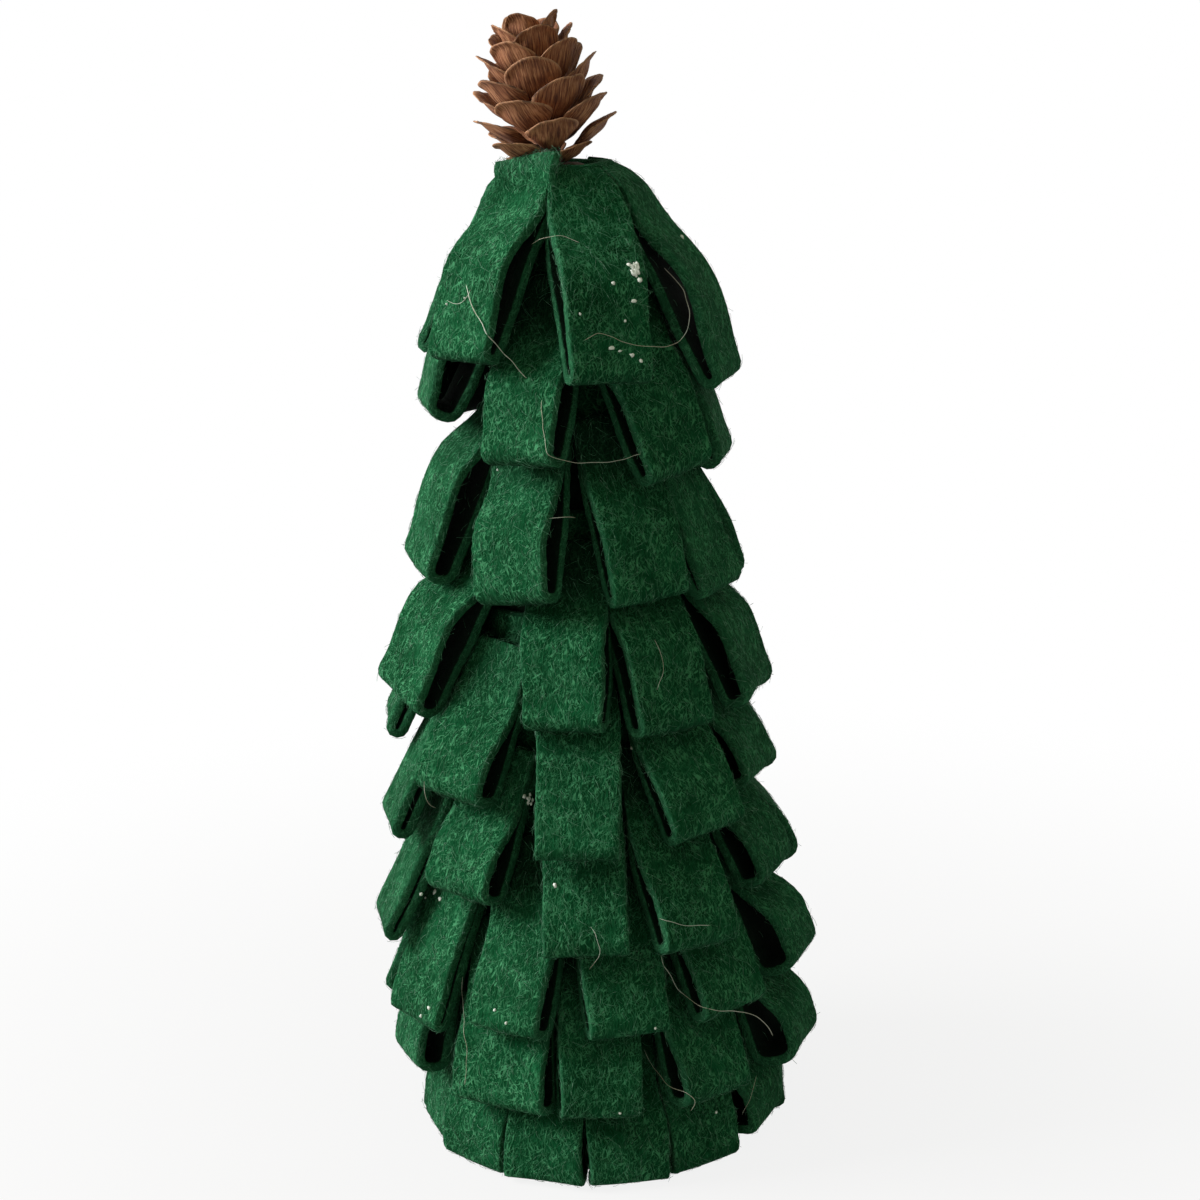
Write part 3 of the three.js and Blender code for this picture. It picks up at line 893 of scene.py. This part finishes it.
@as_finish
def larch_stalk(stalk, body):
    """The larch cone's stalk: dull brown bark, made darker still as painted shade between the roots of the
    scales.
    """
    grain = stalk.noise(body, 0.8, 3)
    brown = stalk.blend(grain, (0.006, 0.003, 0.002), (0.06, 0.025, 0.014))
    return brown, 0.7 + grain * 0.2, 0.5, stalk.bump(grain, 0.3, 0.8)


@as_finish
def stray_hair(hair, body):
    """Stray hairs and threads: straw coloured to pale grey along their length."""
    tone = hair.step(hair.noise(body, 9, 1), 0.35, 0.65)
    pale = hair.blend(tone, (0.5, 0.5, 0.36), (0.82, 0.9, 0.78))
    return pale, 0.35 + tone * 0.3, 0.5, None


@as_finish
def white_lint(lint, body):
    """Specks of lint and dried glue: dull white with a trace of grey."""
    tone = lint.noise(body, 0.5, 2)
    white = lint.blend(tone, (0.78, 0.86, 0.76), (0.95, 1.0, 0.92))
    return white, 0.6 + tone * 0.3, 0.5, lint.bump(tone, 0.2, 0.8)


@as_finish
def set_glue(glue, body):
    """Set hot-melt glue: dark honey, seen between the scales."""
    clouds = glue.noise(body, 3, 3)
    honey = glue.blend(clouds, (0.03, 0.014, 0.006), (0.1, 0.05, 0.018))
    return honey, 0.55 + clouds * 0.2, 0.1, glue.bump(glue.noise(body, 1.5, 2), 0.15, 0.4)


# The loose fibres that stand on the felt.


def fibre_maker():
    """The node tree that sows bent fibres over a strip, along the way its felt was pulled."""
    tree = bpy.data.node_groups.new("sown_fibres", "GeometryNodeTree")
    kinds = {
        "Strip": "Geometry", "Density": "Float", "Length": "Float", "Thickness": "Float", "Bow": "Float",
        "Seed": "Int", "Finish": "Material",
    }
    for name, kind in kinds.items():
        tree.interface.new_socket(name, in_out="INPUT", socket_type="NodeSocket" + kind)
    tree.interface.new_socket("Fibres", in_out="OUTPUT", socket_type="NodeSocketGeometry")
    maker = Nodes(tree)
    given = tree.nodes.new("NodeGroupInput")
    wires = {name: Wire(maker, given.outputs[name]) for name in kinds}
    fringe = maker.add("GeometryNodeInputNamedAttribute", {"Name": "fringe"}, data_type="FLOAT")
    sockets = {"Mesh": wires["Strip"], "Density": fringe * wires["Density"], "Seed": wires["Seed"]}
    sown = maker.add("GeometryNodeDistributePointsOnFaces", sockets, distribute_method="RANDOM")
    facing = Wire(maker, sown.socket.node.outputs["Normal"])
    run = maker.add("GeometryNodeInputNamedAttribute", {"Name": "run"}, data_type="FLOAT_VECTOR")
    half = wires["Length"] * 0.5
    ends = [maker.add("ShaderNodeCombineXYZ", {"X": half * side}) for side in (-1, 1)]
    bowed = maker.add("ShaderNodeCombineXYZ", {"Y": wires["Bow"], "Z": wires["Bow"] * 0.4})
    sockets = {"Resolution": 2, "Start": ends[0], "Middle": bowed, "End": ends[1]}
    spine = maker.add("GeometryNodeCurveQuadraticBezier", sockets)
    sockets = {"Resolution": 3, "Radius": wires["Thickness"] * 0.5}
    outline = maker.add("GeometryNodeCurvePrimitiveCircle", sockets, mode="RADIUS")
    sockets = {"Curve": spine, "Profile Curve": outline, "Fill Caps": True}
    fibre = maker.add("GeometryNodeCurveToMesh", sockets)
    sockets = {"Primary Axis": facing, "Secondary Axis": run}
    lying = maker.add("FunctionNodeAxesToRotation", sockets, primary_axis="Z", secondary_axis="X")
    low, high = [[radians(angle * sign) for angle in FIBRE_STRAY] for sign in (-1, 1)]
    sockets = {0: low, 1: high, "Seed": wires["Seed"]}
    strayed = maker.add("FunctionNodeRandomValue", sockets, data_type="FLOAT_VECTOR")
    strayed = maker.add("FunctionNodeEulerToRotation", {"Euler": strayed})
    sockets = {"Rotation": lying, "Rotate By": strayed}
    turned = maker.add("FunctionNodeRotateRotation", sockets, rotation_space="LOCAL")
    sockets = {0: FIBRE_SIZES[0], 1: FIBRE_SIZES[1], "Seed": wires["Seed"]}
    sizes = maker.add("FunctionNodeRandomValue", sockets, data_type="FLOAT_VECTOR")
    sockets = {"Points": sown, "Instance": fibre, "Rotation": turned, "Scale": sizes}
    placed = maker.add("GeometryNodeInstanceOnPoints", sockets)
    real = maker.add("GeometryNodeRealizeInstances", {"Geometry": placed})
    dyed = maker.add("GeometryNodeSetMaterial", {"Geometry": real, "Material": wires["Finish"]})
    maker.add("NodeGroupOutput", {"Fibres": dyed})
    return tree


def sow_fibres(strip, name, maker, finish, seed):
    """The loose fibres of one strip as a plain mesh of their own."""
    carrier = add_object(name, strip.data)
    growth = carrier.modifiers.new("fibres", "NODES")
    growth.node_group = maker
    values = {
        "Density": FIBRE_DENSITY, "Length": FIBRE_LENGTH, "Thickness": FIBRE_THICKNESS, "Bow": FIBRE_BOW,
        "Seed": seed, "Finish": finish,
    }
    for socket in maker.interface.items_tree:
        if socket.name in values:
            growth[socket.identifier] = values[socket.name]
    bpy.context.view_layer.update()
    graph = bpy.context.evaluated_depsgraph_get()
    mesh = bpy.data.meshes.new_from_object(carrier.evaluated_get(graph), depsgraph=graph)
    mesh.name = name
    bpy.data.objects.remove(carrier)
    return add_object(name, mesh)


# What has caught on the felt: stray hairs and specks of lint, laid where the photograph shows them.
# Each hair has its thickness and the places in the picture that it runs through, in pixels.
# Each speck has its place in the picture and how wide and how tall it is, in pixels.
HAIRS = [
    (0.2, [(465, 285), (478, 318), (487, 335), (505, 355), (527, 378)]),
    (0.13, [(541, 400), (543, 430), (546, 456), (575, 462), (610, 462), (640, 455)]),
    (0.12, [(530, 245), (541, 238), (555, 235), (568, 238), (580, 243)]),
    (0.14, [
        (585, 340), (595, 334), (605, 333), (625, 343), (650, 348), (675, 345), (688, 332), (691, 312),
        (682, 288), (665, 268),
    ]),
    (0.16, [(550, 518), (562, 516), (575, 518)]),
    (0.13, [(425, 782), (424, 795), (427, 804), (436, 808)]),
    (0.13, [(660, 918), (680, 925), (697, 927), (710, 925)]),
    (0.15, [
        (660, 955), (666, 970), (677, 988), (700, 1008), (722, 1012), (742, 1010), (760, 1016), (768, 1026),
        (772, 1036),
    ]),
    (0.15, [(645, 1050), (655, 1070), (668, 1087), (685, 1092), (697, 1100), (690, 1110)]),
    (0.12, [(757, 1075), (752, 1095), (742, 1115)]),
    (0.11, [(447, 300), (455, 306), (466, 300), (470, 290)]),
    (0.11, [(462, 978), (463, 1010), (466, 1050), (465, 1085)]),
    (0.11, [(655, 640), (662, 655), (664, 672), (657, 690)]),
    (0.1, [(590, 925), (600, 945), (598, 962), (588, 970)]),
]
SPECKS = [
    (635, 270, 9, 15), (640, 280, 5, 5), (629, 265, 4, 5), (613, 283, 4, 4), (634, 301, 6, 4),
    (580, 314, 3, 3), (625, 321, 3, 3), (612, 348, 6, 4), (620, 351, 4, 2), (632, 355, 5, 4),
    (641, 361, 4, 4), (447, 304, 2, 2), (465, 298, 2, 2), (682, 237, 4, 5), (421, 894, 4, 5),
    (426, 898, 3, 3), (435, 892, 5, 7), (440, 899, 5, 4), (555, 885, 4, 5), (524, 796, 5, 4),
    (529, 798, 7, 11), (533, 803, 4, 4), (632, 748, 6, 3), (620, 1113, 3, 3), (457, 1156, 4, 3),
    (462, 1159, 4, 3), (469, 1162, 5, 3), (421, 1016, 3, 4), (429, 1008, 4, 4), (495, 1010, 3, 3),
    (655, 1028, 3, 3), (506, 1023, 3, 3), (498, 470, 2, 2), (716, 1112, 3, 3),
]


def sight(across, down):
    """The direction in which the camera sees a place in the picture."""
    right, up, back = camera_axes()
    seen_at = right * (across - PICTURE_WIDTH / 2 + SHIFT_PIXELS) + up * (PICTURE_WIDTH / 2 - down)
    return (seen_at - back * FOCAL_PIXELS).normalized()


def tree_of(mesh):
    """A mesh made ready to be met by lines of sight."""
    points = [vertex.co for vertex in mesh.vertices]
    return BVHTree.FromPolygons(points, [face.vertices for face in mesh.polygons])


def felt_depth(trees, across, down):
    """How far from the camera the felt lies behind a place in the picture, and which way it faces."""
    hits = [tree.ray_cast(EYE, sight(across, down)) for tree in trees]
    found = [(hit[3], hit[1]) for hit in hits if hit[0] is not None]
    return min(found, key=lambda hit: hit[0], default=(None, None))


def lay_hairs(trees, name, finish):
    """The stray hairs. Each lies on the felt and is bridged over the hollows between the loops."""
    skin = Skin()
    for number, (thickness, places) in enumerate(HAIRS):
        line = eased(evenly(np.array(places, float), 3), 3)
        wander = [noise.noise_vector(Vector((x / HAIR_WAVE, y / HAIR_WAVE, number * 3.7))) for x, y in line]
        line = line + np.array(wander)[:, :2] * HAIR_WANDER
        depths = [felt_depth(trees, *place)[0] for place in line]
        depths = np.array([CAMERA_DISTANCE if depth is None else depth for depth in depths])
        for way in (depths, depths[::-1]):
            for index in range(1, len(way)):
                way[index] = min(way[index], way[index - 1] + HAIR_SLACK)
        points = [EYE + sight(*place) * (depth - HAIR_LIFT) for place, depth in zip(line, depths)]
        points = eased(np.array(points) / MM, 2)
        along = directions(points)
        beside = np.cross(along, np.array([0.3, 1, 0.1]))
        beside = beside / np.linalg.norm(beside, axis=1)[:, None]
        above = np.cross(beside, along)
        angles = 2 * pi * np.arange(HAIR_SIDES) / HAIR_SIDES
        reach = np.full(len(points), thickness / 2.6)
        reach[[0, -1]] *= HAIR_TAPER
        rings = points[:, None] + reach[:, None, None] * (
            np.cos(angles)[None, :, None] * beside[:, None] + np.sin(angles)[None, :, None] * above[:, None]
        )
        skin.sweep(rings, np.arange(HAIR_SIDES + 1) * 0.1, np.arange(len(points)) * 0.7, {})
    return skin.piece(name, finish)


def lump_rings(foot, wide, tall, facing, place, size):
    """The rings of one crumpled lump: how wide and how tall it is, as vectors, and where it sits."""
    sides, levels = 7, 5
    rings = []
    for level in range(levels):
        rise = pi * (level + 0.5) / levels
        ring = []
        for side in range(sides):
            angle = 2 * pi * side / sides
            wander = Vector((3.1 * cos(angle), 3.1 * sin(angle), level + place))
            crumple = size * (1 + LINT_CRUMPLE * noise.noise(wander))
            flat = wide * cos(angle) + tall * sin(angle)
            ring.append(foot + flat * (sin(rise) / 2 * crumple) - facing * LINT_HEIGHT * cos(rise))
        rings.append(ring)
    return np.array(rings)


def scatter_lint(trees, name, finish):
    """The specks: small crumpled lumps that stick to the felt."""
    skin = Skin()
    for number, (across, down, wide, tall) in enumerate(SPECKS):
        depth, facing = felt_depth(trees, across, down)
        if depth is None:
            continue
        middle = (EYE + sight(across, down) * depth) / MM
        facing = -facing if facing.dot(sight(across, down)) > 0 else facing
        beside = Vector((0, 0, 1)).cross(facing).normalized()
        per_pixel = depth / MM / FOCAL_PIXELS
        wider, taller = beside * wide * per_pixel, facing.cross(beside) * tall * per_pixel
        lumps = 1 if wide * tall < SINGLE_SPECK else wide * tall // PIXELS_PER_LUMP
        for lump in range(lumps):
            stray = LUMP_STRAY if lump else 0
            strayed = noise.noise_vector(Vector((number * 5.1, lump * 2.7, 0.4))) * stray
            foot = middle + wider * strayed.x + taller * strayed.y
            size = 1 if lumps == 1 else LUMP_SIZE
            rings = lump_rings(foot, wider, taller, facing, number * 4.3 + lump * 1.9, size)
            skin.sweep(rings, np.arange(rings.shape[1] + 1) * 0.3, np.arange(len(rings)) * 0.3, {})
    return skin.piece(name, finish)


# The larch cone and its glue.


def clouds(across, up, depth):
    """Noise over a grid of places."""
    values = [noise.noise(Vector((x, y, depth))) for x, y in zip(across.ravel(), up.ravel())]
    return np.array(values).reshape(across.shape)


def woody_scale(name, index, finish, shrink=1):
    """One ribbed, cupped scale of the larch cone, with a rim that rolls outwards.

    Those below the first, with an index under 0, are small and sit at the foot of the stalk.
    """
    grid = 21
    share = index / (SCALE_COUNT - 1)
    crowded = lerp(share, share**2, CROWDING_SHARE)
    height = SPINDLE_LENGTH * max(0, lerp(*HEIGHT_SHARES, crowded))
    root_radius = lerp(*SPINDLE_RADII, height / SPINDLE_LENGTH) + CLEARANCE
    size = shrink * (1 - (share - BROADEST_SHARE) ** 2)
    base_angle = radians(lerp(*BASE_ANGLES, share))
    tip_angle = radians(lerp(*TIP_ANGLES, share))
    steps = np.linspace(-1, 1, grid)
    across, up = np.meshgrid(steps, steps)
    across, up = across * np.sqrt(1 - up**2 / 2), up * np.sqrt(1 - across**2 / 2)
    edge = np.hypot(across, up)
    wave = clouds(across * 1.6, up * 1.6, index * 5.7)
    ribs = clouds(across * 9, up * 0.9, index * 3.3)
    along = np.maximum((1 + up) / 2, 0) ** 0.7 * (1 + 0.05 * wave * smooth(edge, 0.6, 1))
    angle = base_angle + (tip_angle - base_angle) * along
    middle = base_angle + (tip_angle - base_angle) * along / 2
    lip = smooth(edge, 0.72, 1.02) * smooth(up, -0.3, 0.6)
    waist = lerp(0.62, 1, smooth(up, -1, -0.15))
    lift = across**2 * SCALE_CUP * size - lip * RIM_LIP * (1 + wave) + ribs * RIB_DEPTH + wave * SCALE_WARP
    length = SCALE_LENGTH * size
    thickness = lerp(*SCALE_THICKNESSES, smooth(along, 0, 0.6)) / 2
    layers = []
    for side in (-1, 1):
        raised = lift + side * thickness * (1 - 0.5 * smooth(edge, 0.9, 1))
        points = np.stack(
            [
                root_radius + along * length * np.cos(middle) - raised * np.sin(angle),
                across * waist * SCALE_WIDTH * size / 2,
                along * length * np.sin(middle) + raised * np.cos(angle),
            ],
            axis=2,
        )
        layers.append(points.reshape(-1, 3))
    number = np.arange(grid * grid).reshape(grid, grid)
    faces = []
    flat = np.stack([(across + 1) / 2 + index, (up + 1) / 2], axis=2).reshape(-1, 2)
    for row in range(grid - 1):
        for column in range(grid - 1):
            corners = [*number[row, column:column + 2], *number[row + 1, column:column + 2][::-1]]
            faces.append([corner + grid * grid for corner in corners])
            faces.append(corners[::-1])
    border = [*number[0, :-1], *number[:-1, -1], *number[-1, :0:-1], *number[:0:-1, 0]]
    for here, there in zip(border, border[1:] + border[:1]):
        faces.append([here, there, there + grid * grid, here + grid * grid])
    places = [flat[corner % (grid * grid)] for face in faces for corner in face]
    # The root mark is painted shade at the foot of the scale, and the rim is its own pale edge.
    marks = {"rim": smooth(edge, 0.9, 1) * smooth(up, -0.7, 0), "root": 1 - smooth(along, 0.08, 0.5)}
    marks = {mark: np.tile(values.reshape(-1, 1), (2, 1)) for mark, values in marks.items()}
    mesh = new_mesh(name, np.concatenate(layers), faces, "leaf", places, marks)
    turn = Matrix.Rotation(radians(SCALE_START + SCALE_TURN * index - 90), 4, "Z")
    lean = Matrix.Rotation(radians(-LARCH_LEAN), 4, "Y")
    foot = Matrix.Translation((-LARCH_OFFSET, 0, CORE_TOP + GLUE_HEIGHT + CLEARANCE))
    mesh.transform(Matrix.Scale(MM, 4) @ foot @ lean @ Matrix.Translation((0, 0, height)) @ turn)
    return new_piece(name, mesh, finish)


def glue_blob(name, finish):
    """The set glue: a squat blob that has run unevenly over the felt before it set."""
    levels, sides = 14, 40
    rings = []
    for level in range(levels, 0, -1):
        fall = level / levels
        radius = GLUE_RADIUS * sin(min(1, fall * 1.25) * pi / 2) ** 0.8
        height = CORE_TOP + GLUE_HEIGHT * (cos(fall * pi / 2) if fall < 1 else 0)
        ring = []
        for side in range(sides):
            angle = 2 * pi * side / sides
            wander = GLUE_WANDER * noise.noise(Vector((2 * cos(angle), 2 * sin(angle), fall * 2)))
            reach = radius * (1 + wander)
            ring.append((reach * cos(angle), reach * sin(angle), height))
        rings.append(ring)
    skin = Skin()
    skin.sweep(np.array(rings), np.arange(sides + 1) * 0.3, np.arange(levels) * 0.3, {})
    return skin.piece(name, finish)


# The camera, the lamps, the floor and the background.


def camera_axes():
    """Where the camera's right, its top and its back point."""
    level_up = Vector((0, sin(CAMERA_PITCH), cos(CAMERA_PITCH)))
    up, right = swung(level_up, Vector((1, 0, 0)), CAMERA_ROLL)
    return right, up, right.cross(up)


def add_camera():
    data = bpy.data.cameras.new("photo_camera")
    data.sensor_width = SENSOR_WIDTH
    data.lens = FOCAL_PIXELS * SENSOR_WIDTH / PICTURE_WIDTH
    data.shift_x = SHIFT_PIXELS / PICTURE_WIDTH
    held = Matrix(camera_axes()).transposed().to_4x4()
    camera = add_object("photo_camera", data)
    camera.matrix_world = Matrix.Translation(EYE) @ held
    bpy.context.scene.camera = camera


def add_lamp(name, turn, rise, distance, size, power, colour):
    """A soft square lamp, aimed at the middle of the tree from an angle and a height."""
    data = bpy.data.lights.new(name, "AREA")
    data.size = size
    data.energy = power
    data.color = colour
    lamp = add_object(name, data)
    turn, rise = radians(turn), radians(rise)
    towards = Vector((sin(turn) * cos(rise), -cos(turn) * cos(rise), sin(rise)))
    lamp.location = towards * distance + Vector((0, 0, CORE_HEIGHT * MM / 2))
    lamp.rotation_euler = towards.to_track_quat("Z", "Y").to_euler()


def seen(nodes):
    """1 for what the camera sees, straight or in a gloss or through glass, and 0 for other light."""
    path = nodes.add("ShaderNodeLightPath").socket.node.outputs
    names = ("Is Camera Ray", "Is Glossy Ray", "Is Transmission Ray")
    straight, gloss, through = [Wire(nodes, path[name]) for name in names]
    return nodes.maths("MAXIMUM", nodes.maths("MAXIMUM", straight, gloss), through)


def add_world():
    world = bpy.data.worlds.new("white_room")
    bpy.context.scene.world = world
    world.use_nodes = True
    room = Nodes(world.node_tree)
    white = room.add("ShaderNodeBackground", {"Color": (1, 1, 1), "Strength": 1.0})
    dim = room.add("ShaderNodeBackground", {"Color": (1.0, 1.0, 0.76), "Strength": 0.26})
    both = room.add("ShaderNodeMixShader", {0: seen(room), 1: dim, 2: white})
    room.add("ShaderNodeOutputWorld", {"Surface": both})


def add_floor():
    """A plain pale floor, shown white like the photograph's background but for the tree's shadow."""
    corners = [(-FLOOR, -FLOOR, 0), (FLOOR, -FLOOR, 0), (FLOOR, FLOOR, 0), (-FLOOR, FLOOR, 0)]
    mesh = new_mesh("floor", corners, [(0, 1, 2, 3)])
    material, pale = new_finish("pale_floor")
    away = pale.add("ShaderNodeVectorMath", {0: pale.body()}, "Value", operation="LENGTH")
    far = pale.step(away, 0.05, 0.35)
    matt = pale.add("ShaderNodeBsdfPrincipled", {"Base Color": (0.5, 0.5, 0.49), "Roughness": 0.9})
    glow = pale.add("ShaderNodeEmission", {"Color": (1, 1, 1), "Strength": 1.0})
    white = seen(pale) * (far * 0.14 + 0.86)
    pale.surface(pale.add("ShaderNodeMixShader", {0: white, 1: matt, 2: glow}))
    mesh.materials.append(material)
    add_object("floor", mesh)


add_camera()
add_world()
add_floor()
add_lamp("window_lamp", -82, 30, 0.9, 0.42, 10, (1.0, 0.97, 1.0))
add_lamp("front_fill", 10, 60, 1.6, 0.9, 0.7, (1.0, 0.98, 0.74))
bpy.context.scene.view_settings.view_transform = "Standard"

maker = fibre_maker()

lower_tabs = []
trees = []
for number, tier in enumerate(TIERS, 1):
    tabs = tabs_of(tier)
    for tab in tabs:
        shape_tab(tab, tier, lower_tabs)
    skin = Skin()
    add_header(skin, tier, number)
    if on_top(tier):
        add_flap(skin, number)
    else:
        add_lining(skin, tier)
    for place, tab in enumerate(tabs):
        add_tab(skin, tab, tier, number * 20 + place)
    strip = skin.piece(f"looped_strip_{number}", green_felt)
    fibres = sow_fibres(strip, f"loose_fibres_{number}", maker, loose_fibre, number)
    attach(strip, "root")
    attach(fibres, "root")
    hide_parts(f"felt_strip_{number}")
    trees.append(tree_of(strip.data))
    lower_tabs = tabs

hairs = lay_hairs(trees, "stray_hairs", stray_hair)
specks = scatter_lint(trees, "lint_specks", white_lint)
for piece in (hairs, specks):
    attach(piece, "root")

for index in range(SCALE_COUNT):
    scale = woody_scale(f"woody_scale_{index + 1:02d}", index, larch_bark)
    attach(scale, "root")
    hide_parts(f"larch_scale_{index + 1:02d}")

for number, shrink in enumerate(BASAL_SHARES, 1):
    scale = woody_scale(f"basal_scale_{number}", -number, larch_bark, shrink)
    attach(scale, "root")

blob = glue_blob("glue_blob", set_glue)
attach(blob, "root")
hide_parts("glue_dab")

for node, finish in (("foam_core", beaded_foam), ("larch_spindle", larch_stalk)):
    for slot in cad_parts[node].material_slots:
        slot.material = finish
